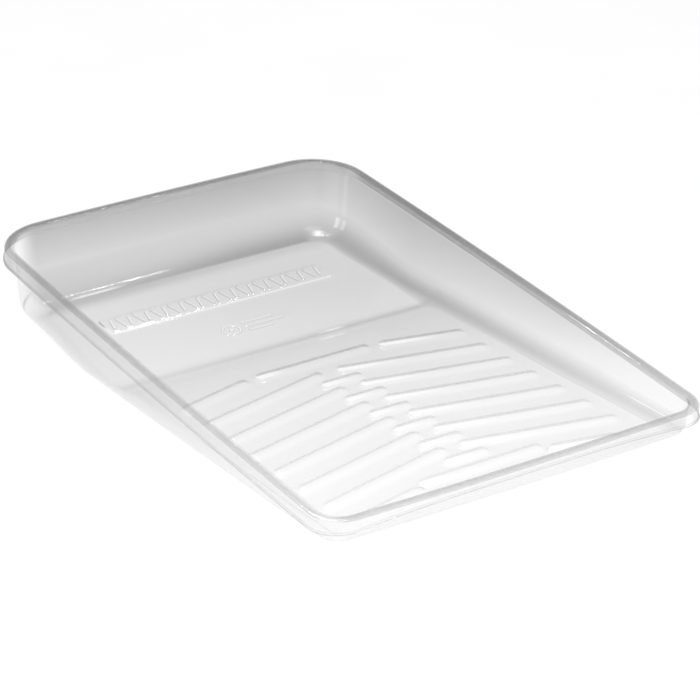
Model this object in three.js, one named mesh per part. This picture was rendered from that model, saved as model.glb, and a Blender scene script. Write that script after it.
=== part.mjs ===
// A paint roller tray of the kind that is formed from one sheet of clear plastic: a deep well for the
// paint, a ramp with raised roll-off bars, drafted walls and a turned-down rim.
//
// Millimetres, +Z up. +Y points to the deep end and +X across the tray. The origin lies under the
// middle of the rim, level with the underside of the well floor, and the rim is level.
//
// The sheet is one closed body. It is built as an upper skin, a lower skin with the same layout,
// and a narrow strip that joins them along the trimmed edge.

import * as THREE from 'three';

// ---- the sheet ----
const SHEET = 0.7;

// ---- rim opening: the top edge of the walls, in plan ----
const HALF_WIDTH = 126.5;
const HALF_LENGTH = 205;
const BACK_CORNER_R = 31;
const FRONT_CORNER_R = 13.5;
const SIDE_BOW = 1.9;
const END_BOW = 1.6;

// ---- heights above the underside of the well floor ----
const RIM_TOP = 50.8;
const WELL_FLOOR = SHEET;

// ---- rim: a flat flange, then a skirt with a small step near its trimmed edge ----
const FLANGE_WIDTH = 6.6;
const FLANGE_ROUND = 1.3;
const ROUND_SAG = 0.3 * FLANGE_ROUND;     // how far a rounded edge falls short of a sharp one
const SKIRT_DROP = 9.3;
const FRONT_SKIRT_DROP = 3.6;
const SKIRT_FLARE = 0.4;
const TRIM_STEP = 0.6;
const TRIM_BAND = 1.2;

// ---- walls ----
const DRAFT = 0.065;
const BACK_FILLET_R = 17;
const REAR_SIDE_FILLET_R = 12;
const SIDE_FILLET_R = 7.5;
const FRONT_FILLET_R = 6;
const FILLET_STEPS = 5;
const REAR_FILLET_BLEND_Y = [95, 165];      // the side fillet grows towards the back over this run
const FRONT_FILLET_BLEND_Y = [-80, -170];   // and shrinks towards the front over this one

// ---- floor and ramp ----
const LEDGE_START_Y = 95;     // the border beside the walls starts to climb here
const CREASE_Y = 63;          // the well floor ends here
const RAMP_START_Y = 47;      // a short, steeper face climbs from the crease to the ramp
const RAMP_SLOPE = 0.104;
const END_BORDER = 3;
const SIDE_BORDER = 6;

// ---- raised strip across the well floor ----
const STRIP_HALF_WIDTH = 84;
const STRIP_NEAR_Y = 130;
const STRIP_FAR_Y = 152;
const STRIP_HEIGHT = 0.8;
const STRIP_BEVEL = 1.2;

// ---- roll-off bars ----
const BAR_HEIGHT = 2.5;
const BAR_FOOT_R = 5;
const BAR_TOP_R = 2.2;
const BAR_END_STEPS = 4;
const BAR_ROWS = 6;
const BAR_PITCH = 27.2;
const BAR_INNER = [9, -0.4];      // x and y of the first row's inner end
const BAR_OUTER = [99, -23.2];
const SHORT_BAR_HALF = 11;
const SHORT_BAR_Y = -14.8;
const FIRST_ROW = { half: 38, y: 19.8, inner: [52, 17.5], outer: [100, 4.5] };
const LAST_ROW = { half: 39, y: -166.2, inner: [48, -172.5], outer: [84, -181] };

// ---- stations around the rim ----
const SIDE_STATIONS_Y = [148, 121, LEDGE_START_Y, 79, CREASE_Y, RAMP_START_Y, 18, -22, -62, -102, -142, -172];
const END_STATIONS_X = [64, 32, 0, -32, -64];
const BACK_CORNER_STEPS = 8;
const FRONT_CORNER_STEPS = 5;

// Rises smoothly from 0 at start to 1 at end.
function blend(value, [start, end]) {
  return THREE.MathUtils.smoothstep((value - start) / (end - start), 0, 1);
}

// The plain ramp plane, and the level of the border that runs beside the walls.
function rampHeight(y) {
  return WELL_FLOOR + RAMP_SLOPE * (LEDGE_START_Y - y);
}

function borderHeight(y) {
  return Math.max(WELL_FLOOR, rampHeight(y));
}

// The level of the floor inside that border: flat, then the steeper face, then the ramp.
function floorHeight(y) {
  if (y >= CREASE_Y) {
    return WELL_FLOOR;
  }
  if (y <= RAMP_START_Y) {
    return rampHeight(y);
  }
  const t = (CREASE_Y - y) / (CREASE_Y - RAMP_START_Y);
  return THREE.MathUtils.lerp(WELL_FLOOR, rampHeight(RAMP_START_Y), t);
}

// ---- rim stations ----

function bowed(x, y, nx, ny) {
  const sideShare = Math.abs(x / HALF_WIDTH) ** 3 * (1 - (y / HALF_LENGTH) ** 2);
  const endShare = Math.abs(y / HALF_LENGTH) ** 3 * (1 - (x / HALF_WIDTH) ** 2);
  return {
    x: x + Math.sign(x) * SIDE_BOW * sideShare,
    y: y + Math.sign(y) * END_BOW * endShare,
    nx,
    ny,
  };
}

function cornerStations(signX, signY, radius, startAngle, steps) {
  const cx = signX * (HALF_WIDTH - radius);
  const cy = signY * (HALF_LENGTH - radius);
  const list = [];
  for (let i = 0; i <= steps; i++) {
    const a = startAngle + (i / steps) * (Math.PI / 2);
    const nx = Math.cos(a);
    const ny = Math.sin(a);
    list.push(bowed(cx + radius * nx, cy + radius * ny, nx, ny));
  }
  return list;
}

// Counter-clockwise from above: right side, back, left side, front. nx, ny is the outward normal.
function rimStations() {
  const rightSide = [...SIDE_STATIONS_Y].reverse().map((y) => bowed(HALF_WIDTH, y, 1, 0));
  const back = END_STATIONS_X.map((x) => bowed(x, HALF_LENGTH, 0, 1));
  const leftSide = SIDE_STATIONS_Y.map((y) => bowed(-HALF_WIDTH, y, -1, 0));
  const front = [...END_STATIONS_X].reverse().map((x) => bowed(x, -HALF_LENGTH, 0, -1));
  return [
    ...rightSide,
    ...cornerStations(1, 1, BACK_CORNER_R, 0, BACK_CORNER_STEPS),
    ...back,
    ...cornerStations(-1, 1, BACK_CORNER_R, Math.PI / 2, BACK_CORNER_STEPS),
    ...leftSide,
    ...cornerStations(-1, -1, FRONT_CORNER_R, Math.PI, FRONT_CORNER_STEPS),
    ...front,
    ...cornerStations(1, -1, FRONT_CORNER_R, 1.5 * Math.PI, FRONT_CORNER_STEPS),
  ];
}

// ---- the section at one station, as [outward distance, height] from the trimmed edge inwards ----

function skirtDrop(station) {
  if (station.ny >= 0) {
    return SKIRT_DROP;
  }
  const across = Math.min(1, Math.abs(station.x) / HALF_WIDTH);
  return FRONT_SKIRT_DROP + (SKIRT_DROP - FRONT_SKIRT_DROP) * across ** 3;
}

function rimSection(station) {
  const edge = RIM_TOP - skirtDrop(station);
  const stepFoot = edge + TRIM_BAND;
  const stepTop = stepFoot + TRIM_STEP;
  const skirt = FLANGE_WIDTH + SKIRT_FLARE;
  return [
    [skirt + TRIM_STEP, edge],
    [skirt + TRIM_STEP, stepFoot],
    [skirt, stepTop],
    [FLANGE_WIDTH, RIM_TOP - FLANGE_ROUND],
    [FLANGE_WIDTH - ROUND_SAG, RIM_TOP - ROUND_SAG],
    [FLANGE_WIDTH - FLANGE_ROUND, RIM_TOP],
    [FLANGE_ROUND, RIM_TOP],
    [ROUND_SAG, RIM_TOP - ROUND_SAG],
    [0, RIM_TOP - FLANGE_ROUND],
  ];
}

function filletRadius(station) {
  const rear = blend(station.y, REAR_FILLET_BLEND_Y);
  const side = THREE.MathUtils.lerp(SIDE_FILLET_R, REAR_SIDE_FILLET_R, rear);
  if (station.ny > 0) {
    return THREE.MathUtils.lerp(side, BACK_FILLET_R, station.ny ** 1.5);
  }
  const frontShare = Math.max(blend(station.y, FRONT_FILLET_BLEND_Y), -station.ny);
  return THREE.MathUtils.lerp(side, FRONT_FILLET_R, frontShare);
}

// The drafted wall runs straight into a fillet that ends level on the border.
function wallSection(station) {
  const radius = filletRadius(station);
  const top = RIM_TOP - FLANGE_ROUND;
  const lean = Math.atan(DRAFT);
  const footOut = -DRAFT * (top - borderHeight(station.y));
  const footY = station.y + station.ny * footOut;
  const base = borderHeight(footY);
  const startHeight = base + radius * (1 - Math.sin(lean));
  const centreOut = -DRAFT * (top - startHeight) - radius * Math.cos(lean);
  const section = [];
  for (let i = 0; i <= FILLET_STEPS; i++) {
    const t = i / FILLET_STEPS;
    const a = THREE.MathUtils.lerp(-lean, -Math.PI / 2, t);
    const out = centreOut + radius * Math.cos(a);
    const slopeShift = borderHeight(station.y + station.ny * out) - base;
    section.push([out, base + radius * (1 + Math.sin(a)) + t * slopeShift]);
  }
  return section;
}

// Moves a section sideways by the sheet's thickness, with mitred corners, to give the lower skin.
function lowerSection(section) {
  const normals = [];
  for (let i = 0; i + 1 < section.length; i++) {
    const du = section[i + 1][0] - section[i][0];
    const dv = section[i + 1][1] - section[i][1];
    const length = Math.hypot(du, dv);
    normals.push([-dv / length, du / length]);
  }
  normals.push([0, -1]);
  return section.map(([u, v], i) => {
    const a = normals[Math.max(0, i - 1)];
    const b = normals[i];
    const scale = SHEET / (1 + a[0] * b[0] + a[1] * b[1]);
    return [u + scale * (a[0] + b[0]), v + scale * (a[1] + b[1])];
  });
}

// ---- the sheet's mesh: matching upper and lower points, and triangles over them ----

function addPoint(sheet, upper, lower) {
  sheet.upper.push(upper);
  sheet.lower.push(lower);
  return sheet.upper.length - 1;
}

function addFlatPoint(sheet, x, y, z) {
  return addPoint(sheet, new THREE.Vector3(x, y, z), new THREE.Vector3(x, y, z - SHEET));
}

function addQuad(sheet, a, b, c, d) {
  sheet.triangles.push([a, b, c], [a, c, d]);
}

// Joins two closed loops of the same length; inner lies to the left of outer's direction.
function addBand(sheet, outer, inner) {
  for (let i = 0; i < outer.length; i++) {
    const j = (i + 1) % outer.length;
    addQuad(sheet, outer[i], outer[j], inner[j], inner[i]);
  }
}

// Fills the area inside a counter-clockwise loop and outside the holes.
function addPanel(sheet, loop, holes) {
  const flat = (i) => new THREE.Vector2(sheet.upper[i].x, sheet.upper[i].y);
  const ids = [loop, ...holes].flat();
  const faces = THREE.ShapeUtils.triangulateShape(loop.map(flat), holes.map((h) => h.map(flat)));
  for (const [a, b, c] of faces) {
    const p = flat(ids[a]);
    const turn = flat(ids[b]).sub(p).cross(flat(ids[c]).sub(p));
    sheet.triangles.push(turn > 0 ? [ids[a], ids[b], ids[c]] : [ids[a], ids[c], ids[b]]);
  }
}

// ---- rim and walls ----

function place(station, [out, height]) {
  return new THREE.Vector3(station.x + station.nx * out, station.y + station.ny * out, height);
}

function addRimAndWalls(sheet, stations) {
  const sections = stations.map((s) => [...rimSection(s), ...wallSection(s)]);
  const lowers = sections.map(lowerSection);
  const rings = sections[0].map((_, k) => stations.map((s, i) => {
    return addPoint(sheet, place(s, sections[i][k]), place(s, lowers[i][k]));
  }));
  for (let k = 0; k + 1 < rings.length; k++) {
    addBand(sheet, rings[k], rings[k + 1]);
  }
  return rings;
}

// The border beside the walls blends from the fillet's foot to the floor inside it.
function addBorder(sheet, stations, footRing) {
  const ring = stations.map((s, i) => {
    const inset = THREE.MathUtils.lerp(END_BORDER, SIDE_BORDER, Math.abs(s.nx));
    const foot = sheet.upper[footRing[i]];
    const y = foot.y - s.ny * inset;
    return addFlatPoint(sheet, foot.x - s.nx * inset, y, floorHeight(y));
  });
  addBand(sheet, footRing, ring);
  return ring;
}

// ---- roll-off bars ----

function stadium(from, to, radius) {
  const along = Math.atan2(to[1] - from[1], to[0] - from[0]);
  const points = [];
  for (const [end, start] of [[to, along - Math.PI / 2], [from, along + Math.PI / 2]]) {
    for (let i = 0; i <= BAR_END_STEPS; i++) {
      const a = start + (i / BAR_END_STEPS) * Math.PI;
      points.push([end[0] + radius * Math.cos(a), end[1] + radius * Math.sin(a)]);
    }
  }
  return points;
}

// Adds one raised bar and returns its foot as a hole for the ramp panel.
function addBar(sheet, from, to) {
  const ring = (radius, lift) => stadium(from, to, radius).map(([x, y]) => {
    return addFlatPoint(sheet, x, y, rampHeight(y) + lift);
  });
  const foot = ring(BAR_FOOT_R, 0);
  const top = ring(BAR_TOP_R, BAR_HEIGHT);
  addBand(sheet, foot, top);
  addPanel(sheet, top, []);
  return foot;
}

function barLines() {
  const lines = [];
  const mirrored = (inner, outer) => {
    lines.push([inner, outer], [[-outer[0], outer[1]], [-inner[0], inner[1]]]);
  };
  for (let row = 0; row < BAR_ROWS; row++) {
    const shift = -row * BAR_PITCH;
    mirrored([BAR_INNER[0], BAR_INNER[1] + shift], [BAR_OUTER[0], BAR_OUTER[1] + shift]);
    lines.push([[-SHORT_BAR_HALF, SHORT_BAR_Y + shift], [SHORT_BAR_HALF, SHORT_BAR_Y + shift]]);
  }
  for (const row of [FIRST_ROW, LAST_ROW]) {
    mirrored(row.inner, row.outer);
    lines.push([[-row.half, row.y], [row.half, row.y]]);
  }
  return lines;
}

// ---- floor ----

// Adds the low raised strip on the well floor and returns its foot as a hole for the floor panel.
function addStrip(sheet) {
  const rectangle = (inset, lift) => [[-1, -1], [1, -1], [1, 1], [-1, 1]].map(([sx, sy]) => {
    const edgeY = sy < 0 ? STRIP_NEAR_Y : STRIP_FAR_Y;
    return addFlatPoint(sheet, sx * (STRIP_HALF_WIDTH - inset), edgeY - sy * inset, WELL_FLOOR + lift);
  });
  const foot = rectangle(0, 0);
  const top = rectangle(STRIP_BEVEL, STRIP_HEIGHT);
  addBand(sheet, foot, top);
  addPanel(sheet, top, []);
  return foot;
}

function addFloor(sheet, stations, ring) {
  const at = (y, side) => stations.findIndex((s) => s.y === y && s.ny === 0 && Math.sign(s.nx) === side);
  const between = (from, to) => {
    const list = [];
    for (let i = from; i !== to; i = (i + 1) % ring.length) {
      list.push(ring[i]);
    }
    return [...list, ring[to]];
  };
  const creaseRight = at(CREASE_Y, 1);
  const creaseLeft = at(CREASE_Y, -1);
  const rampRight = at(RAMP_START_Y, 1);
  const rampLeft = at(RAMP_START_Y, -1);
  addPanel(sheet, between(creaseRight, creaseLeft), [addStrip(sheet)]);
  addQuad(sheet, ring[rampRight], ring[creaseRight], ring[creaseLeft], ring[rampLeft]);
  addPanel(sheet, between(rampLeft, rampRight), barLines().map(([from, to]) => addBar(sheet, from, to)));
}

// ---- closed geometry ----

function sheetGeometry(sheet, edgeRing) {
  const count = sheet.upper.length;
  const positions = [...sheet.upper, ...sheet.lower].flatMap((p) => [p.x, p.y, p.z]);
  const index = [];
  for (const [a, b, c] of sheet.triangles) {
    index.push(a, b, c, count + a, count + c, count + b);
  }
  edgeRing.forEach((a, i) => {
    const b = edgeRing[(i + 1) % edgeRing.length];
    index.push(a, count + a, count + b, a, count + b, b);
  });
  const geometry = new THREE.BufferGeometry();
  geometry.setAttribute('position', new THREE.Float32BufferAttribute(positions, 3));
  geometry.setIndex(index);
  geometry.computeVertexNormals();
  return geometry;
}

function makeTray() {
  const sheet = { upper: [], lower: [], triangles: [] };
  const stations = rimStations();
  const rings = addRimAndWalls(sheet, stations);
  const border = addBorder(sheet, stations, rings.at(-1));
  addFloor(sheet, stations, border);
  const clearPlastic = new THREE.MeshStandardMaterial({
    name: 'clear plastic',
    color: 0xe6eaeb,
    roughness: 0.16,
    metalness: 0,
    transparent: true,
    opacity: 0.4,
    flatShading: true,
  });
  const mesh = new THREE.Mesh(sheetGeometry(sheet, rings[0]), clearPlastic);
  mesh.name = 'tray';
  return mesh;
}

const tray = new THREE.Group();
tray.name = 'paint_roller_tray';
tray.add(makeTray());

export default tray;
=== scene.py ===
"""A clear plastic paint roller tray, formed from one sheet, on a plain pale floor.

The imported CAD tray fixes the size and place. The visible tray is the same sheet with true round
edges, crowned bars and embossed patterns, and it is built in millimetres in the CAD frame: +Z up,
+Y towards the deep end, the origin under the middle of the rim.
"""

import math

import bmesh
import bpy
import numpy as np
from mathutils import Euler, Matrix, Vector
from mathutils.geometry import delaunay_2d_cdt


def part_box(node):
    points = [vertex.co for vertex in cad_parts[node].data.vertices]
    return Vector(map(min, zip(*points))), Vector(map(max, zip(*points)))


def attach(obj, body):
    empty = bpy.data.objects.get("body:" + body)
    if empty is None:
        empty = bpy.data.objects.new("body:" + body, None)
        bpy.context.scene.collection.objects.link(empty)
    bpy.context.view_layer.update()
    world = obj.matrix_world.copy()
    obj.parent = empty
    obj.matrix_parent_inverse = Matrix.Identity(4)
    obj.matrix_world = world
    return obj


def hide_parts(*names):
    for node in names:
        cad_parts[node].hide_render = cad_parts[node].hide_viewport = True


MM = 0.001

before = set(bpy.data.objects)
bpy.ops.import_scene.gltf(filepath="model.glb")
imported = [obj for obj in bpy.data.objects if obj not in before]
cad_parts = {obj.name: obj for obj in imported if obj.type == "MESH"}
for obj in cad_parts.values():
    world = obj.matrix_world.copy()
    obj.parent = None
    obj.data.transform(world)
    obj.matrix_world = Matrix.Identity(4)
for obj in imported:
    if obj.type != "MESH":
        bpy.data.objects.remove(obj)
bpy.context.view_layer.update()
tray_low, tray_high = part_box("tray")

# ---- the sheet, as in the CAD ----
SHEET = 0.7
SIDE_BOW = 1.9
END_BOW = 1.6
FLANGE_WIDTH = 6.6
FLANGE_ROUND = 1.3
SKIRT_DROP = 9.3
FRONT_SKIRT_DROP = 3.6
SKIRT_FLARE = 0.4
TRIM_STEP = 0.6
TRIM_BAND = 1.2
RIM_REACH = FLANGE_WIDTH + SKIRT_FLARE + TRIM_STEP
RIM_TOP = tray_high.z / MM
HALF_WIDTH = tray_high.x / MM - RIM_REACH - SIDE_BOW
HALF_LENGTH = tray_high.y / MM - RIM_REACH - END_BOW
BACK_CORNER_R = 31
FRONT_CORNER_R = 13.5

DRAFT = 0.065
BACK_FILLET_R = 17
REAR_SIDE_FILLET_R = 12
SIDE_FILLET_R = 7.5
FRONT_FILLET_R = 6
REAR_FILLET_BLEND_Y = (95, 165)
FRONT_FILLET_BLEND_Y = (-80, -170)

WELL_FLOOR = SHEET
LEDGE_START_Y = 95
CREASE_Y = 63
RAMP_START_Y = 47
RAMP_SLOPE = 0.104
CREASE_SOFTNESS = 4
END_BORDER = 3
SIDE_BORDER = 6

STRIP_HALF_WIDTH = 84
STRIP_Y = (130, 152)
STRIP_HEIGHT = 0.8
STRIP_BEVEL = 1.2

BAR_HEIGHT = 2.5
BAR_FOOT_R = 6.25
BAR_LEAN = 1.75               # how far the foot reaches further on the shallow end's side
BAR_TOP_R = 1.9
BAR_ROWS = 6
BAR_PITCH = 27.2
BAR_INNER = (9, -0.4)
BAR_OUTER = (99, -23.2)
SHORT_BAR_HALF = 11
SHORT_BAR_Y = -14.8
CREST_HIGHLIGHT_REACH = (48, 20)        # how far a painted highlight runs along a right-hand bar's crest, and a middle bar's
FIRST_ROW = {"half": 38, "y": 19.8, "inner": (52, 17.5), "outer": (100, 4.5)}
LAST_ROW = {"half": 39, "y": -166.2, "inner": (48, -172.5), "outer": (84, -181)}

# ---- fine mesh ----
STATION_SPACING = 5
BACK_CORNER_STEPS = 26
FRONT_CORNER_STEPS = 16
ROUND_STEPS = 6
WALL_STEPS = 8
FILLET_STEPS = 14
BORDER_SHARES = (0.25, 0.5, 0.75, 0.88, 1)
GRID_SPACING = 6
GRID_MARGIN = 1.5
RING_SPACING = 5

# ---- how deep the sheet's grey and painted shade show, beside 1 on a plain face ----
RIM_GREY_AND_SHADE = (1.4, 1.15)        # at the shallow end and at the deep end
FAR_FLANGE_SHADE = 1.6
NEAR_SKIRT_SHARE = (0.35, 1.2)          # at the left, and at both ends of the near side
NEAR_SKIRT_Y = (120, 190)
FAR_SKIRT_SHARE = (0.9, 0.02)
LEFT_EDGE_SHARE = 0.5
WALL_SHADE = (1.58, 1.08)      # at the top and at the fillet
LEFT_SHARE, RIGHT_SHARE = 0.15, 0.9
FRONT_WALL_SHARE = 0.65
BACK_LEFT_SHARE = 0.92
BACK_FILLET_SHADE = (1.3, 1.75)        # at its left end and at its right end
BACK_FOOT_SHADE = (1.35, 1.15)
BACK_FOOT_Y = (168, 184)
SIDE_FILLET_SHADE = 1.65
FRONT_FILLET_SHADE = 0.6
CORNER_FILLET_SHARE = 0.6
FILLET_SKEW = (1.2, 3.2, 2.0)         # how near its foot a fillet's painted shade is deepest: side, back left and right
CORNER_STREAKS = ((13, 3, 0.9), (28, 3, 0.97), (50, 9, 1.05))   # painted lighter and darker streaks on the walls: angle, width and share
# painted shade at the crease and on the steep face, and the well floor painted lighter or darker
CREASE_SHADE = (1.15, 1.4)
FACE_SHADE = 1.12
FACE_FADE_Y = (-30, 45)
WELL_SHADE = (0.72, 0.9)       # at the left and at the right
WELL_X = (-110, 70)

# ---- rings that carry painted thin dark lines for edge-on shade: at the near edges, and elsewhere ----
SKIRT_RINGS = 10
FLANGE_RINGS = (16, 23)       # where the flange ends and its inner round ends
RIM_LINES = {0: (0.6, 0.1), 3: (0.5, 0.05), 9: (0.15, 0.3), 10: (0.45, 0.4), 11: (0.1, 0.4),
             12: (0.1, 0.38), 13: (0.16, 0.36), 14: (0.19, 0.34), 15: (0.2, 0.32), 16: (0.25, 0.3),
             17: (0.35, 0.28), 18: (0.7, 0.24), 19: (0.8, 0.18), 20: (0.8, 0.1), 21: (0.5, 0)}
RIGHT_LINE_SHARE, RIGHT_LINE_Y = 0.4, (-200, 0)         # the far edge pales towards the front
OUTLINE_RING, OUTLINE_LINE = (5, 8), 0.5      # painted dark outlines where the left wall and the front wall turn under
BACK_GLEAM = (-0.95, 13, (-88, -76), (-38, -58))        # painted highlight: line, ring of the fillet, and ends in x
FRONT_GLEAM = (-0.8, 6, (-192, -178), (-138, -150))     # the same painted highlight at the right, with ends in y
CORNER_GLEAMS = (             # painted highlights: angle, width, line and rings, round the deep right corner
    (23, 2.5, -0.8, (1, 6)),
    (12, 2.5, -0.5, (1, 6)),
    (49, 10, -1, (9, 12)),
)
# a painted dark line along the side border beside the ramp, standing in for a small ledge's shade
LEDGE_LINE = 0.25
LEDGE_LINE_Y = (-30, -50)
CREASE_GLEAMS = ((65, 32, 54), (51, 22, 47))     # painted highlights at the creases: place in y, and ends in x
GLEAM_REACH = 1.2
# painted dark lines at the feet of dashes and along the strip's far edge, and a painted highlight along
# its near edge
DASH_LINE = 0.35
STRIP_LINE = 0.5
STRIP_GLEAM = -0.5
PAINTED_TOP_HIGHLIGHT = -0.6              # below 0 a painted highlight, drawn by making the sheet clearer
PAINTED_HIGHLIGHT = -0.75


# ---------------------------------------------------------------- shape of the sheet


def smooth_share(value, start, end):
    """Rises smoothly from 0 at start to 1 at end."""
    t = np.clip((value - start) / (end - start), 0, 1)
    return t * t * (3 - 2 * t)


def mix(a, b, t):
    return a + (b - a) * t


def softened(profile, y, reach=CREASE_SOFTNESS):
    """profile(y) averaged over a short run each way, which rounds its creases."""
    return np.mean([profile(y + s) for s in np.linspace(-reach, reach, 17)], axis=0)


def ramp_plane(y):
    return WELL_FLOOR + RAMP_SLOPE * (LEDGE_START_Y - y)


def border_height(y):
    """The level beside the walls: the well floor, then the ramp."""
    return softened(lambda v: np.maximum(WELL_FLOOR, ramp_plane(v)), y)


def floor_height(y):
    """The level inside the border: flat, a short steeper face, then the ramp."""
    corners_y = (RAMP_START_Y, CREASE_Y)
    steep = lambda v: np.interp(v, corners_y, (ramp_plane(RAMP_START_Y), WELL_FLOOR))
    return softened(lambda v: np.where(v < RAMP_START_Y, ramp_plane(v), steep(v)), y)


def bowed(x, y, nx, ny):
    side = abs(x / HALF_WIDTH) ** 3 * (1 - (y / HALF_LENGTH) ** 2)
    end = abs(y / HALF_LENGTH) ** 3 * (1 - (x / HALF_WIDTH) ** 2)
    return (x + math.copysign(SIDE_BOW * side, x), y + math.copysign(END_BOW * end, y), nx, ny)


def corner(sign_x, sign_y, radius, start, steps):
    """Stations round one corner of the rim opening."""
    cx, cy = sign_x * (HALF_WIDTH - radius), sign_y * (HALF_LENGTH - radius)
    angles = [start + math.pi / 2 * i / steps for i in range(steps + 1)]
    return [bowed(cx + radius * math.cos(a), cy + radius * math.sin(a), math.cos(a), math.sin(a))
            for a in angles]


def straight(start, end, normal):
    """Stations between two corners, without the ends, which the corners hold."""
    count = round(math.dist(start, end) / STATION_SPACING)
    shares = [i / count for i in range(1, count)]
    return [bowed(mix(start[0], end[0], t), mix(start[1], end[1], t), *normal) for t in shares]


def rim_stations():
    """x, y, nx, ny round the rim opening, counter-clockwise from above."""
    w, h = HALF_WIDTH, HALF_LENGTH
    back, front = BACK_CORNER_R, FRONT_CORNER_R
    quarter = math.pi / 2
    return np.array([
        *straight((w, front - h), (w, h - back), (1, 0)),
        *corner(1, 1, back, 0, BACK_CORNER_STEPS),
        *straight((w - back, h), (back - w, h), (0, 1)),
        *corner(-1, 1, back, quarter, BACK_CORNER_STEPS),
        *straight((-w, h - back), (-w, front - h), (-1, 0)),
        *corner(-1, -1, front, 2 * quarter, FRONT_CORNER_STEPS),
        *straight((front - w, -h), (w - front, -h), (0, -1)),
        *corner(1, -1, front, 3 * quarter, FRONT_CORNER_STEPS),
    ])


def rim_section(x, ny):
    """Outward distance and height from the trimmed edge, over the flange, to the top of the wall."""
    across = min(1.0, abs(x) / HALF_WIDTH)
    front_drop = mix(FRONT_SKIRT_DROP, SKIRT_DROP, across**3)
    edge = RIM_TOP - (SKIRT_DROP if ny >= 0 else front_drop)
    skirt = FLANGE_WIDTH + SKIRT_FLARE
    step_foot, step_top = edge + TRIM_BAND, edge + TRIM_BAND + TRIM_STEP
    shoulder = RIM_TOP - FLANGE_ROUND
    points = [(RIM_REACH, edge), (RIM_REACH, mix(edge, step_foot, 0.6)), (RIM_REACH - 0.08, step_foot)]
    points += [(mix(RIM_REACH, skirt, 0.5), mix(step_foot, step_top, 0.45)), (skirt + 0.06, step_top)]
    points += [(mix(skirt, FLANGE_WIDTH, t), mix(step_top, shoulder, t)) for t in (0.3, 0.7)]
    turns = [math.pi / 2 * i / ROUND_STEPS for i in range(ROUND_STEPS + 1)]
    outer = FLANGE_WIDTH - FLANGE_ROUND
    points += [(outer + FLANGE_ROUND * math.cos(a), shoulder + FLANGE_ROUND * math.sin(a)) for a in turns]
    points += [(mix(outer, FLANGE_ROUND, t), RIM_TOP) for t in (0.33, 0.67)]
    points += [(FLANGE_ROUND * (1 - math.sin(a)), shoulder + FLANGE_ROUND * math.cos(a)) for a in turns]
    return points


def fillet_radius(y, ny):
    side = mix(SIDE_FILLET_R, REAR_SIDE_FILLET_R, smooth_share(y, *REAR_FILLET_BLEND_Y))
    if ny > 0:
        return mix(side, BACK_FILLET_R, ny**1.5)
    return mix(side, FRONT_FILLET_R, max(smooth_share(y, *FRONT_FILLET_BLEND_Y), -ny))


def wall_section(y, ny):
    """The drafted wall, then the fillet that ends level on the border."""
    radius = fillet_radius(y, ny)
    top = RIM_TOP - FLANGE_ROUND
    lean = math.atan(DRAFT)
    base = border_height(y - ny * DRAFT * (top - border_height(y)))
    start = base + radius * (1 - math.sin(lean))
    centre = -DRAFT * (top - start) - radius * math.cos(lean)
    heights = [mix(top, start, i / WALL_STEPS) for i in range(1, WALL_STEPS)]
    points = [(-DRAFT * (top - z), z) for z in heights]
    for i in range(FILLET_STEPS + 1):
        t = i / FILLET_STEPS
        a = mix(-lean, -math.pi / 2, t)
        out = centre + radius * math.cos(a)
        slope_shift = border_height(y + ny * out) - base
        points.append((out, base + radius * (1 + math.sin(a)) + t * slope_shift))
    return points


def border_section(y, nx, ny, foot_out):
    """The narrow band that blends from the fillet's foot to the floor inside it."""
    inset = mix(END_BORDER, SIDE_BORDER, abs(nx))
    points = []
    for t in BORDER_SHARES:
        out = foot_out - inset * t
        at_y = y + ny * out
        level = mix(border_height(at_y), floor_height(at_y), smooth_share(t, 0, 1))
        points.append((out, level))
    return points


def rim_and_walls(stations):
    """Rings of points from the trimmed edge in to the floor, as an array [ring, station, xyz]."""
    columns = []
    for x, y, nx, ny in stations:
        section = rim_section(x, ny) + wall_section(y, ny)
        section += border_section(y, nx, ny, section[-1][0])
        columns.append([(x + nx * out, y + ny * out, z) for out, z in section])
    return np.array(columns).transpose(1, 0, 2)


# ---------------------------------------------------------------- raised shapes on the floor


def stadium(start, end, radius, end_steps):
    """A closed outline at one distance round a line, with points along its straight sides too."""
    (x0, y0), (x1, y1) = start, end
    along = math.atan2(y1 - y0, x1 - x0)
    count = max(1, round(math.dist(start, end) / RING_SPACING))
    points = []
    for (ax, ay), (bx, by), turn in ((start, end, along), (end, start, along + math.pi)):
        nx, ny = radius * math.sin(turn), -radius * math.cos(turn)
        points += [(mix(ax, bx, i / count) + nx, mix(ay, by, i / count) + ny) for i in range(count)]
        for i in range(end_steps):
            a = turn - math.pi / 2 + math.pi * i / end_steps
            points.append((bx + radius * math.cos(a), by + radius * math.sin(a)))
    return points


def raised_line(start, end, foot, top, height, rings, end_steps, lean=0, line=0, highlight_reach=0):
    """Rings of a ridge along a line: [(outline, lift, lines)], from its foot in to its flat top.

    The near side of the crest carries a painted highlight, drawn as clearer sheet, over a reach from the
    start of the line.
    """
    found = []
    for i in range(rings + 1):
        t = i / rings
        shift = -lean * (1 - t)
        ends = [(x, y + shift) for x, y in (start, end)]
        outline = stadium(*ends, mix(foot, top, t), end_steps)
        lines = [line if i == 1 else 0] * len(outline)
        # painted highlight along the near side of the crest
        if highlight_reach and t > 0.6:
            lines = [PAINTED_HIGHLIGHT * crest_share(point, start, end, highlight_reach) for point in outline]
        found.append((outline, height * float(smooth_share(t, 0, 1)), lines))
    return found


def crest_share(point, start, end, reach):
    """Share of the painted crest highlight: 1 at the start of a line, fading over a reach, and only on
    the line's near side.
    """
    along = 1 - smooth_share(math.dist(point, start), 0.2 * reach, reach)
    middle = mix(start[1], end[1], (point[0] - start[0]) / (end[0] - start[0]))
    return float(along * smooth_share(middle - point[1], -1.5, 0.5))


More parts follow.
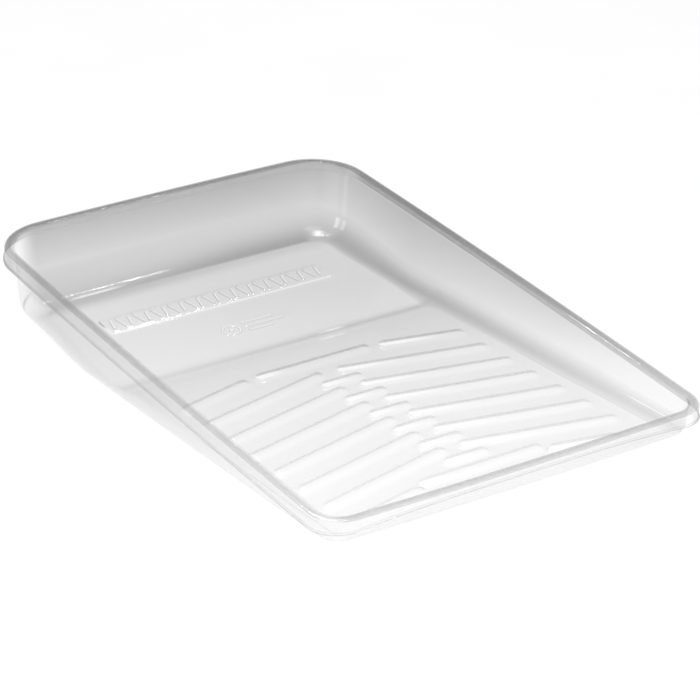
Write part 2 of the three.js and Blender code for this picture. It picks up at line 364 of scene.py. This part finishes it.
def bar_lines():
    """The two ends of each roll-off bar."""
    lines = []

    def mirrored(inner, outer):
        lines.append((inner, outer))
        lines.append(((-outer[0], outer[1]), (-inner[0], inner[1])))

    for row in range(BAR_ROWS):
        shift = -row * BAR_PITCH
        mirrored((BAR_INNER[0], BAR_INNER[1] + shift), (BAR_OUTER[0], BAR_OUTER[1] + shift))
        lines.append(((-SHORT_BAR_HALF, SHORT_BAR_Y + shift), (SHORT_BAR_HALF, SHORT_BAR_Y + shift)))
    for row in (FIRST_ROW, LAST_ROW):
        mirrored(row["inner"], row["outer"])
        lines.append(((-row["half"], row["y"]), (row["half"], row["y"])))
    return lines


def bars():
    found = []
    for start, end in bar_lines():
        reach = CREST_HIGHLIGHT_REACH[0] if start[0] > 0 else CREST_HIGHLIGHT_REACH[1] if end[0] > 0 else 0
        found += raised_line(start, end, BAR_FOOT_R, BAR_TOP_R, BAR_HEIGHT, 8, 12, BAR_LEAN, 0, reach)
    return found


DASH_COUNT = 25
DASH_PITCH = 6.5
DASH_REACH = (1.2, 5.8)       # half of a dash's extent in x and y
DASH_FOOT, DASH_TOP, DASH_HEIGHT = 1.4, 0.4, 0.9


def strip():
    """The low raised strip across the well floor, with a row of slanted dashes on it."""
    found = []
    middle = sum(STRIP_Y) / 2
    half_depth = (STRIP_Y[1] - STRIP_Y[0]) / 2
    ends = ((-STRIP_HALF_WIDTH, middle), (STRIP_HALF_WIDTH, middle))
    for t in (0, 0.33, 0.67, 1):
        outline = rectangle(ends, half_depth, STRIP_BEVEL * t)
        # painted dark line along the far edge, painted highlight along the near edge
        edges = [STRIP_LINE if y > middle else STRIP_GLEAM for _, y in outline]
        lines = edges if 0 < t < 1 else [0] * len(outline)
        found.append((outline, STRIP_HEIGHT * float(smooth_share(t, 0, 1)), lines))
    for i in range(DASH_COUNT):
        x = (i - (DASH_COUNT - 1) / 2) * DASH_PITCH
        slant = DASH_REACH[0] * (-1) ** i
        low = (x - slant, middle - DASH_REACH[1])
        high = (x + slant, middle + DASH_REACH[1])
        for outline, lift, lines in small_ridge(low, high, DASH_FOOT, DASH_TOP, DASH_HEIGHT):
            found.append((outline, STRIP_HEIGHT + lift, lines))
    return found


def small_ridge(start, end, foot, top, height):
    """A short low ridge with a painted dark line at its foot and a painted highlight on its crest."""
    rings = raised_line(start, end, foot, top, height, 3, 6, 0, DASH_LINE)
    outline, lift, lines = rings[-1]
    return rings[:-1] + [(outline, lift, [PAINTED_TOP_HIGHLIGHT] * len(lines))]


def rectangle(ends, half_depth, inset, corner_radius=2.5, corner_steps=5):
    """A closed outline with round corners about the line between two ends."""
    (x0, y0), (x1, _) = ends
    rx, ry = (x1 - x0) / 2 - inset, half_depth - inset
    radius = corner_radius - inset
    cx = (x0 + x1) / 2
    points = []
    for k, (sx, sy) in enumerate(((1, -1), (1, 1), (-1, 1), (-1, -1))):
        for i in range(corner_steps + 1):
            a = math.pi / 2 * (k - 1 + i / corner_steps)
            x = cx + sx * (rx - radius) + radius * math.cos(a)
            points.append((x, y0 + sy * (ry - radius) + radius * math.sin(a)))
    return spaced(points)


def spaced(points, spacing=RING_SPACING):
    """The same closed outline with more points along its long straight runs."""
    found = []
    for (ax, ay), (bx, by) in zip(points, points[1:] + points[:1]):
        count = max(1, round(math.dist((ax, ay), (bx, by)) / spacing))
        found += [(mix(ax, bx, i / count), mix(ay, by, i / count)) for i in range(count)]
    return found


MARK_AT = (-14, 97)
MARK_RING_R = 6
MARK_FOOT = 1.3
MARK_GAP = 5
MARK_BARS = ((5.5, 22), (0, 28), (-5.5, 17))     # place in y and length


def circle(centre, radius, steps=24):
    angles = [2 * math.pi * i / steps for i in range(steps)]
    return [(centre[0] + radius * math.cos(a), centre[1] + radius * math.sin(a)) for a in angles]


def small_mark():
    """A plain raised ring with a dot, and three short bars beside it."""
    height = 0.5
    ring = ((MARK_FOOT, 0), (0.8, 0.5), (0.4, 1), (-0.4, 1), (-0.8, 0.5), (-MARK_FOOT, 0))
    dot = ((2.2, 0), (1.7, 0.5), (1.2, 1))
    # painted dark lines at the feet, painted highlights on the tops
    line_at = {0: 0, 0.5: DASH_LINE, 1: PAINTED_TOP_HIGHLIGHT}
    found = []
    circles = [(MARK_RING_R + d, lift, 24) for d, lift in ring]
    circles += [(radius, lift, 12) for radius, lift in dot]
    for radius, lift, steps in circles:
        found.append((circle(MARK_AT, radius, steps), height * lift, [line_at[lift]] * steps))
    x = MARK_AT[0] + MARK_RING_R + MARK_GAP
    for rise, length in MARK_BARS:
        y = MARK_AT[1] + rise
        found += small_ridge((x, y), (x + length, y), MARK_FOOT, 0.4, height)
    return found


# ---------------------------------------------------------------- mesh


def inside_border(x, y, border, margin):
    """True where a point lies inside the border ring by a margin."""
    px, py = border[:, 0], border[:, 1]
    qx, qy = np.roll(px, -1), np.roll(py, -1)
    crosses = (py > y) != (qy > y)
    with np.errstate(divide="ignore", invalid="ignore"):
        at = px + (y - py) / (qy - py) * (qx - px)
    inside = np.count_nonzero(crosses & (x < at)) % 2 == 1
    return inside and np.hypot(px - x, py - y).min() > margin


def raised_zones():
    """Each raised shape as the ends of a line and a reach round it."""
    zones = [((x0, y0 - BAR_LEAN), (x1, y1 - BAR_LEAN), BAR_FOOT_R) for (x0, y0), (x1, y1) in bar_lines()]
    middle, half_depth = sum(STRIP_Y) / 2, (STRIP_Y[1] - STRIP_Y[0]) / 2
    zones.append(((-STRIP_HALF_WIDTH, middle), (STRIP_HALF_WIDTH, middle), half_depth))
    mark_end = MARK_AT[0] + MARK_RING_R + MARK_GAP + max(length for _, length in MARK_BARS)
    zones.append((MARK_AT, (mark_end, MARK_AT[1]), MARK_RING_R + MARK_FOOT))
    return zones


def clear_of_zones(x, y, zones):
    """True where a point stands clear of every raised shape."""
    for (x0, y0), (x1, y1), reach in zones:
        dx, dy = x1 - x0, y1 - y0
        t = min(1, max(0, ((x - x0) * dx + (y - y0) * dy) / (dx * dx + dy * dy)))
        if math.hypot(x - x0 - t * dx, y - y0 - t * dy) < reach + GRID_MARGIN:
            return False
    return True


def grid_points(border):
    """Plain floor points, closer together across the creases, that keep clear of every outline."""
    zones = raised_zones()
    rows = list(np.arange(-HALF_LENGTH, HALF_LENGTH, GRID_SPACING))
    creases = ((RAMP_START_Y, CREASE_SOFTNESS), (CREASE_Y, CREASE_SOFTNESS), (sum(BACK_FOOT_Y) / 2, 6))
    for y, reach in creases:
        rows = [r for r in rows if abs(r - y) > reach + 1]
        rows += list(np.linspace(y - reach, y + reach, 9))
    found = []
    for y in sorted(rows):
        for x in np.arange(-HALF_WIDTH, HALF_WIDTH, GRID_SPACING):
            if clear_of_zones(x, y, zones) and inside_border(x, y, border, GRID_SPACING / 2):
                found.append((x, y))
    return found


def floor_faces(border):
    """Triangulates the floor inside the border ring, with every outline as an edge."""
    points = [tuple(p[:2]) for p in border]
    levels = [p[2] for p in border]
    lines = [0.0] * len(border)
    outlines = [list(range(len(border)))]
    for outline, lift, outline_lines in bars() + strip() + small_mark():
        first = len(points)
        points += outline
        levels += [float(floor_height(y)) + lift for _, y in outline]
        lines += outline_lines
        outlines.append(list(range(first, len(points))))
    plain = grid_points(border)
    points += plain
    levels += [float(floor_height(y)) for _, y in plain]
    lines += [crease_gleam(x, y) for x, y in plain]
    edges = [(a, b) for ring in outlines for a, b in zip(ring, ring[1:] + ring[:1])]
    flat = [Vector(p) for p in points]
    found = delaunay_2d_cdt(flat, edges, [outlines[0]], 1, 1e-5)
    new_points, faces, sources = found[0], found[2], found[3]
    level_of = [levels[s[0]] if s else float(floor_height(p.y)) for p, s in zip(new_points, sources)]
    line_of = [lines[s[0]] if s else 0.0 for s in sources]
    return [(p.x, p.y, z) for p, z in zip(new_points, level_of)], [list(f) for f in faces], line_of


def back_share(x):
    """From 0 at the left to 1 at the right, along the back."""
    return smooth_share(x, -0.9 * HALF_WIDTH, 0.6 * HALF_WIDTH)


def rim_grey_and_shade(stations, rings):
    """The skirt and the flange, with painted shade: deep at the far side, where the skirt behind hardly
    shows.
    """
    deep = smooth_share(stations[:, 1], -HALF_LENGTH, HALF_LENGTH)
    far = smooth_share(0.6 * stations[:, 2] + stations[:, 3], 0.45, 0.95)
    greys_and_shades = np.tile(mix(*RIM_GREY_AND_SHADE, deep), (rings, 1))
    flange = slice(SKIRT_RINGS, FLANGE_RINGS[1])
    greys_and_shades[flange] = mix(greys_and_shades[flange], FAR_FLANGE_SHADE, far * mix(0.7, 1, deep))
    greys_and_shades[FLANGE_RINGS[0]:] *= mix(1, LEFT_EDGE_SHARE, smooth_share(-stations[:, 2], 0.3, 0.9))
    at_back = smooth_share(stations[:, 1], *NEAR_SKIRT_Y)
    at_right = smooth_share(stations[:, 2], -0.2, 0.8)
    at_ends = np.maximum(at_back, at_right)
    greys_and_shades[:SKIRT_RINGS] *= mix(mix(*NEAR_SKIRT_SHARE, at_ends), mix(*FAR_SKIRT_SHARE, deep), far)
    return greys_and_shades


def fillet_painted_shade(stations, foot, rings):
    """Painted shade in the fillet and the border inside it, deepest towards the foot, and as the floor is
    at the end.
    """
    to_right, to_back = stations[:, 2], stations[:, 3]
    beside = smooth_share(np.abs(to_right), 0.1, 0.7)
    across = back_share(stations[:, 0])
    turn = np.linspace(0, 1, rings)[:, None]
    skew = mix(mix(*FILLET_SKEW[1:], across), FILLET_SKEW[0], beside)
    depth = np.sin(np.pi * turn**skew) ** 1.2
    plain = mix(WALL_SHADE[1], foot, turn)
    deepest = mix(mix(*BACK_FILLET_SHADE, across), SIDE_FILLET_SHADE, beside)
    deepest = mix(deepest, FRONT_FILLET_SHADE, smooth_share(-to_back, 0.1, 0.7))
    in_corner = smooth_share(np.abs(to_right * to_back), 0.1, 0.45)
    greys_and_shades = plain + (deepest - plain) * depth * mix(1, CORNER_FILLET_SHARE, in_corner)
    at_left = smooth_share(-to_right, 0.1, 0.7)
    return greys_and_shades * mix(1, mix(LEFT_SHARE, 1, turn**3), at_left)


def crease_gleam(x, y):
    """Two short painted highlights, drawn as clearer sheet, where the sheet turns at the creases."""
    gleam = 0
    for at_y, start, end in CREASE_GLEAMS:
        along = smooth_share(x, start, start + 8) * smooth_share(x, end, end - 8)
        gleam = max(gleam, along * math.exp(-(((y - at_y) / GLEAM_REACH) ** 2)))
    return PAINTED_HIGHLIGHT * float(gleam)


def ring_grey_and_shade(stations, border):
    """How deep the grey and painted shade show on each ring at each station: light on the rim, deepest in
    the fillets.
    """
    to_right, to_back = stations[:, 2], stations[:, 3]
    at_front = smooth_share(-stations[:, 1], 40, 190)
    walls = np.linspace(*WALL_SHADE, WALL_STEPS - 1)[:, None] * mix(1, FRONT_WALL_SHARE, at_front)
    walls *= mix(1, LEFT_SHARE, smooth_share(-to_right, 0.1, 0.7))
    walls *= mix(1, RIGHT_SHARE, smooth_share(to_right, 0.3, 0.9))
    walls *= mix(1, mix(BACK_LEFT_SHARE, 1, back_share(stations[:, 0])), smooth_share(to_back, 0.5, 1))
    angle = np.degrees(np.arctan2(to_back, to_right))
    # painted lighter and darker streaks on the walls round the deep right corner
    for middle, width, share in CORNER_STREAKS:
        walls *= mix(1, share, np.exp(-(((angle - middle) / width) ** 2)))
    fillets = fillet_painted_shade(stations, floor_painted_shade(border), FILLET_STEPS + 1 + len(BORDER_SHARES))
    return np.vstack([rim_grey_and_shade(stations, FLANGE_RINGS[1]), walls, fillets]).ravel()


def ring_lines(stations, ring_count):
    """Painted dark lines along the rim's edges, where walls turn under, beside the ramp; highlights in
    fillets.
    """
    x, y, to_right, to_back = stations.T
    lines = np.zeros((ring_count, len(stations)))
    near_edge = smooth_share(-0.6 * to_right - to_back, -0.7, 0.2)
    at_left = smooth_share(-to_right, 0.3, 0.9)
    paling = mix(RIGHT_LINE_SHARE, 1, smooth_share(y, *RIGHT_LINE_Y))
    for ring, (near, elsewhere) in RIM_LINES.items():
        share = mix(1, LEFT_EDGE_SHARE, at_left) if ring >= FLANGE_RINGS[0] else 1
        lines[ring] = mix(elsewhere * paling, near * share, near_edge)
    # painted dark line beside the ramp, and painted dark outlines where walls turn under
    lines[-2] = LEDGE_LINE * smooth_share(y, *LEDGE_LINE_Y) * (np.abs(to_right) > 0.9)
    fillet = ring_count - len(BORDER_SHARES) - FILLET_STEPS - 1
    lines[fillet + OUTLINE_RING[0]] += OUTLINE_LINE * at_left
    lines[fillet + OUTLINE_RING[1]] += OUTLINE_LINE * (to_back < -0.5)
    # painted highlights along the back and right fillets and round the deep right corner
    gleams = ((BACK_GLEAM, x, to_back > 0.9), (FRONT_GLEAM, y, to_right > 0.9))
    for (level, ring, *ends), at, mask in gleams:
        lines[fillet + ring] += level * smooth_share(at, *ends[0]) * smooth_share(at, *ends[1]) * mask
    angle = np.degrees(np.arctan2(to_back, to_right))
    for middle, width, level, rings in CORNER_GLEAMS:
        for ring in range(*rings):
            lines[fillet + ring] += level * np.exp(-(((angle - middle) / width) ** 2)) * (y > 0) * (x > 0)
    return lines.ravel()


def floor_painted_shade(points):
    """The same painted shade for the floor: deeper at the two creases and between them, and along the
    back.
    """
    x, y = np.array(points)[:, :2].T
    across = smooth_share(x, *WELL_X)
    crease = np.exp(-(((y - CREASE_Y) / CREASE_SOFTNESS) ** 2))
    face = smooth_share(y, *FACE_FADE_Y) * smooth_share(y, CREASE_Y + 3, CREASE_Y - 3)
    plain = mix(1, mix(*WELL_SHADE, across), smooth_share(y, CREASE_Y, CREASE_Y + 12))
    plain = mix(plain, mix(*BACK_FOOT_SHADE, back_share(x)), smooth_share(y, *BACK_FOOT_Y))
    return plain + np.maximum((mix(*CREASE_SHADE, across) - 1) * crease, (FACE_SHADE - 1) * face)


def upper_skin():
    """The whole upper surface as one mesh, with its grey and painted shade and its painted lines as point
    attributes.
    """
    stations = rim_stations()
    rings = rim_and_walls(stations)
    ring_count, around = rings.shape[:2]
    vertices = [tuple(p) for ring in rings for p in ring]
    faces = []
    for k in range(ring_count - 1):
        for i in range(around):
            j = (i + 1) % around
            faces.append((k * around + i, k * around + j, (k + 1) * around + j, (k + 1) * around + i))
    floor_points, triangles, floor_lines = floor_faces(rings[-1])
    first = len(vertices)
    vertices += floor_points
    faces += [tuple(first + i for i in t) for t in triangles]
    mesh = bpy.data.meshes.new("tray_sheet")
    mesh.from_pydata([Vector(v) * MM for v in vertices], [], faces)
    greys_and_shades = np.concatenate([ring_grey_and_shade(stations, rings[-1]), floor_painted_shade(floor_points)])
    lines = np.concatenate([ring_lines(stations, ring_count), floor_lines])
    # point attributes: the sheet's grey with painted shade, and the painted dark lines and highlights
    mesh.attributes.new("grey_and_painted_shade", "FLOAT", "POINT").data.foreach_set("value", greys_and_shades)
    mesh.attributes.new("line", "FLOAT", "POINT").data.foreach_set("value", lines)
    work = bmesh.new()
    work.from_mesh(mesh)
    bmesh.ops.remove_doubles(work, verts=work.verts, dist=0.002 * MM)
    work.to_mesh(mesh)
    work.free()
    return mesh


def make_tray():
    """The visible tray: the upper skin thickened downwards into a closed sheet."""
    tray = bpy.data.objects.new("clear_tray", upper_skin())
    bpy.context.scene.collection.objects.link(tray)
    thicken = tray.modifiers.new("sheet", "SOLIDIFY")
    thicken.thickness = SHEET * MM
    thicken.offset = -1
    evaluated = tray.evaluated_get(bpy.context.evaluated_depsgraph_get())
    solid = bpy.data.meshes.new_from_object(evaluated)
    tray.modifiers.clear()
    tray.data = solid
    solid.shade_smooth()
    solid.set_sharp_from_angle(angle=math.radians(50))
    solid.materials.clear()
    solid.materials.append(clear_plastic())
    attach(tray, "root")
    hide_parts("tray")
    return tray


# ---------------------------------------------------------------- materials


def new_material(name):
    material = bpy.data.materials.new(name)
    material.use_nodes = True
    nodes = material.node_tree.nodes
    nodes.clear()
    output = nodes.new("ShaderNodeOutputMaterial")
    shader = nodes.new("ShaderNodeBsdfPrincipled")
    material.node_tree.links.new(shader.outputs["BSDF"], output.inputs["Surface"])
    return material, shader


def add_node(material, kind, inputs=(), **settings):
    """A node with its settings, and its inputs set to values or linked from sockets."""
    node = material.node_tree.nodes.new(kind)
    for name, value in settings.items():
        setattr(node, name, value)
    for name, value in dict(inputs).items():
        if isinstance(value, bpy.types.NodeSocket):
            material.node_tree.links.new(value, node.inputs[name])
        else:
            node.inputs[name].default_value = value
    return node


def map_range(material, value, from_range, to_range, smooth=False):
    kind = "SMOOTHSTEP" if smooth else "LINEAR"
    inputs = {"Value": value, "From Min": from_range[0], "From Max": from_range[1],
              "To Min": to_range[0], "To Max": to_range[1]}
    return add_node(material, "ShaderNodeMapRange", inputs, interpolation_type=kind).outputs["Result"]


def maths(material, operation, *values):
    return add_node(material, "ShaderNodeMath", dict(enumerate(values)), operation=operation).outputs[0]


def clear_plastic():
    """Thin clear sheet: a faint grey body, with painted shade deeper towards the deep end, and darker
    edge-on.
    """
    material, shader = new_material("clear_plastic")
    place = add_node(material, "ShaderNodeTexCoord").outputs["Object"]
    axes = add_node(material, "ShaderNodeSeparateXYZ", {0: place})
    # painted shade: the grey grows towards the deep end and the right
    along = maths(material, "MULTIPLY_ADD", axes.outputs["X"], 0.4, axes.outputs["Y"])
    deep = map_range(material, along, (-0.20, 0.15), (0.0, 1.0))
    facing = add_node(material, "ShaderNodeLayerWeight", {"Blend": 0.5}).outputs["Facing"]
    edge_on = map_range(material, facing, (0.74, 1.0), (0.0, 1.0), smooth=True)
    # the sheet's grey with painted shade, and the painted dark lines and highlights, from the mesh
    grey_and_painted_shade = add_node(material, "ShaderNodeAttribute", attribute_name="grey_and_painted_shade").outputs["Fac"]
    line = add_node(material, "ShaderNodeAttribute", attribute_name="line").outputs["Fac"]

    body = maths(material, "MULTIPLY", map_range(material, deep, (0, 1), (0.145, 0.26)), grey_and_painted_shade)
    edge_on = maths(material, "MULTIPLY", edge_on, map_range(material, grey_and_painted_shade, (0, 0.12), (0, 1)))
    edge_on = maths(material, "MULTIPLY", edge_on, map_range(material, deep, (0, 1), (0.8, 0.3)))
    # painted dark lines, and darkening edge-on
    dark = maths(material, "MAXIMUM", line, edge_on)
    # painted highlights where the line is below 0: the sheet is made clearer there
    clear = maths(material, "ADD", maths(material, "MINIMUM", line, 0.0), 1.0)
    alpha = maths(material, "MULTIPLY", maths(material, "MULTIPLY_ADD", dark, 0.45, body), clear)

    # painted shade: the colour darkens towards the deep end and where the painted shade is above 1
    shade = map_range(material, deep, (0, 1), (0.85, 0.32))
    shade = maths(material, "DIVIDE", shade, maths(material, "MAXIMUM", grey_and_painted_shade, 1.0))
    shade = add_node(material, "ShaderNodeMix", {"Factor": dark, "A": shade, "B": 0.05}).outputs[0]
    colour = add_node(material, "ShaderNodeCombineColor", {0: shade, 1: shade, 2: shade})

    scuffs = add_node(material, "ShaderNodeTexNoise", {"Vector": place, "Scale": 140.0, "Detail": 4.0})
    clouds = add_node(material, "ShaderNodeTexNoise", {"Vector": place, "Scale": 22.0, "Detail": 2.0})
    rough = map_range(material, scuffs.outputs["Fac"], (0.35, 0.7), (0.03, 0.08))
    swell = add_node(material, "ShaderNodeBump",
                     {"Height": clouds.outputs["Fac"], "Strength": 0.1, "Distance": 0.0006})
    grain = add_node(material, "ShaderNodeBump",
                     {"Height": scuffs.outputs["Fac"], "Strength": 0.04, "Distance": 0.0001,
                      "Normal": swell.outputs["Normal"]})
    links = material.node_tree.links
    links.new(alpha, shader.inputs["Alpha"])
    links.new(colour.outputs[0], shader.inputs["Base Color"])
    links.new(rough, shader.inputs["Roughness"])
    links.new(grain.outputs["Normal"], shader.inputs["Normal"])
    shader.inputs["IOR"].default_value = 1.57
    return material


def floor_material():
    """A pale studio floor that is lit evenly from within, with a trace of mottling."""
    material, shader = new_material("pale_floor")
    place = add_node(material, "ShaderNodeTexCoord").outputs["Object"]
    mottle = add_node(material, "ShaderNodeTexNoise", {"Vector": place, "Scale": 9.0, "Detail": 3.0})
    shade = map_range(material, mottle.outputs["Fac"], (0.3, 0.7), (0.14, 0.16))
    colour = add_node(material, "ShaderNodeCombineColor", {0: shade, 1: shade, 2: shade})
    material.node_tree.links.new(colour.outputs[0], shader.inputs["Base Color"])
    shader.inputs["Roughness"].default_value = 0.9
    shader.inputs["Specular IOR Level"].default_value = 0.1
    shader.inputs["Emission Color"].default_value = (1, 1, 1, 1)
    shader.inputs["Emission Strength"].default_value = 0.88
    return material


# ---------------------------------------------------------------- studio


FLOOR_HALF = 20
AIM = (0.0128, -0.004, 0.0254)
CAMERA_AZIMUTH = -32.7
CAMERA_ELEVATION = 28.16
CAMERA_ROLL = 1.07
CAMERA_DISTANCE = 1.795
CAMERA_LENS = 147.9


def make_floor():
    mesh = bpy.data.meshes.new("floor")
    half = FLOOR_HALF
    corners = [(-half, -half, 0), (half, -half, 0), (half, half, 0), (-half, half, 0)]
    mesh.from_pydata(corners, [], [(0, 1, 2, 3)])
    mesh.materials.append(floor_material())
    floor = bpy.data.objects.new("floor", mesh)
    bpy.context.scene.collection.objects.link(floor)
    floor.location.z = tray_low.z - 0.05 * MM


def make_camera():
    """Azimuth turns the view from +Y, and elevation looks down."""
    azimuth, elevation = math.radians(CAMERA_AZIMUTH), math.radians(CAMERA_ELEVATION)
    turn = Euler((math.pi / 2 - elevation, 0, azimuth)).to_matrix()
    turn = turn @ Matrix.Rotation(math.radians(CAMERA_ROLL), 3, "Z")
    data = bpy.data.cameras.new("camera")
    data.lens = CAMERA_LENS
    data.sensor_width = 36
    camera = bpy.data.objects.new("camera", data)
    camera.matrix_world = Matrix.Translation(Vector(AIM) + CAMERA_DISTANCE * turn.col[2]) @ turn.to_4x4()
    bpy.context.scene.collection.objects.link(camera)
    bpy.context.scene.camera = camera


def area_light(name, place, aim, size, power):
    data = bpy.data.lights.new(name, "AREA")
    data.shape = "RECTANGLE"
    data.size, data.size_y = size
    data.energy = power
    light = bpy.data.objects.new(name, data)
    towards = (Vector(aim) - Vector(place)).to_track_quat("-Z", "Y")
    light.matrix_world = Matrix.Translation(place) @ towards.to_matrix().to_4x4()
    light.visible_camera = False
    bpy.context.scene.collection.objects.link(light)
    return light


def glint(name, place, aim, size, power):
    """A small bright panel that only shows as a reflection."""
    area_light(name, place, aim, size, power).visible_diffuse = False


def make_lights():
    key = area_light("key", (-0.9, -1.5, 1.25), (0, 0, 0), (1.8, 1.2), 44)
    key.visible_glossy = False
    area_light("overhead", (0.05, -0.15, 1.5), (0, -0.1, 0), (0.7, 0.7), 5)
    glint("corner", (0.17, 0.45, 0.62), (0.246, 0.186, 0), (0.3, 0.07), 3)
    world = bpy.data.worlds.new("studio")
    world.use_nodes = True
    background = world.node_tree.nodes["Background"]
    background.inputs["Color"].default_value = (1, 1, 1, 1)
    background.inputs["Strength"].default_value = 0.3
    bpy.context.scene.world = world


make_tray()
make_floor()
make_camera()
make_lights()
bpy.context.scene.view_settings.view_transform = "Standard"
